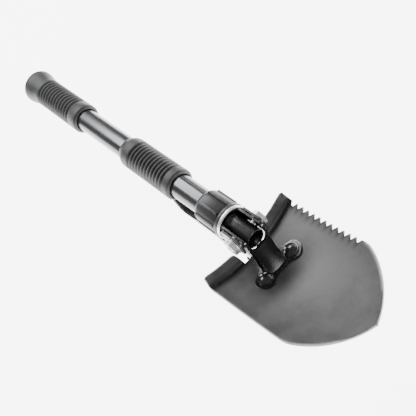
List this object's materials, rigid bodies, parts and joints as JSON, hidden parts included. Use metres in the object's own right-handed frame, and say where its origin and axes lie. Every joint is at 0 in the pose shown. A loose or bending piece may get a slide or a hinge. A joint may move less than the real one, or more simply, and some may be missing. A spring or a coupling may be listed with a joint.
{
  "type": "folding shovel",
  "caption": "Folding camp shovel: dished blade with a saw-toothed edge, folding pick, screw lock collar and a two-section tube handle with ribbed rubber grips.",
  "frame": {"origin": "centre of the butt's flat end face, on the handle's axis", "axes": "+X along the handle towards the blade's tip, +Z out of the blade's dished face, +Y towards the saw-toothed edge"},
  "size_m": [0.4875, 0.107, 0.0594],
  "materials": {
    "grip_rubber": "moulded black rubber, matt with a faint sheen",
    "plug_plastic": "moulded plastic",
    "handle_lacquer": "dark glossy lacquer on drawn steel tube",
    "inner_steel": "plain turned steel",
    "thread_steel": "turned and oiled steel",
    "bracket_lacquer": "glossy black lacquer",
    "collar_finish": "dark grey semi-gloss coating on a die-cast nut",
    "bright_ring": "bright plated ring",
    "zinc_fastener": "bright zinc plate",
    "blade_finish": "satin dark grey coating on pressed steel",
    "rivet_finish": "glossy black lacquer on domed rivets",
    "pick_finish": "satin dark coating on pressed steel"
  },
  "bodies": {
    "lower_handle": {"lower_grip": "grip_rubber", "lower_tube": "handle_lacquer", "joint_socket": "inner_steel", "socket_pin": "inner_steel", "thread_sleeve": "thread_steel", "hinge_tube": "bracket_lacquer", "hinge_tube_pin": "inner_steel", "pivot_bolt": "zinc_fastener", "pivot_nut": "zinc_fastener", "pivot_washers": "zinc_fastener", "spacer_sleeve": "inner_steel", "cheek_washers": "inner_steel"},
    "upper_handle": {"joint_washer": "inner_steel", "upper_grip": "grip_rubber", "end_plug": "plug_plastic", "upper_tube": "handle_lacquer", "joint_stud": "inner_steel", "stud_pin": "inner_steel"},
    "collar_seat": {"lock_ring": "bright_ring"},
    "collar": {"collar_nut": "collar_finish"},
    "blade": {"blade": "blade_finish", "blade_bracket": "bracket_lacquer", "rivet_washers": "rivet_finish", "blade_rivets": "rivet_finish"},
    "pick": {"pick": "pick_finish"}
  },
  "joints": [
    {"name": "blade_fold", "type": "hinge", "parent": "lower_handle", "child": "blade", "pos_m": [0.35, 0, 0], "axis": [0, -1, 0], "range_deg": [0, 165]},
    {"name": "pick_fold", "type": "hinge", "parent": "lower_handle", "child": "pick", "pos_m": [0.35, 0, 0], "axis": [0, -1, 0], "range_deg": [0, 38]},
    {"name": "collar_travel", "type": "slide", "parent": "lower_handle", "child": "collar_seat", "axis": [-1, 0, 0], "range_m": [0, 0.008]},
    {"name": "collar_turn", "type": "hinge", "parent": "collar_seat", "child": "collar", "pos_m": [0.315, 0, 0], "axis": [-1, 0, 0], "range_deg": [0, 720]},
    {"name": "handle_unscrew", "type": "hinge", "parent": "lower_handle", "child": "upper_handle", "pos_m": [0.16, 0, 0], "axis": [-1, 0, 0], "range_deg": [0, 720]}
  ],
  "couplings": [
    {"joint": "collar_travel", "follows": "collar_turn", "m_per_rad": 0.00063662}
  ]
}
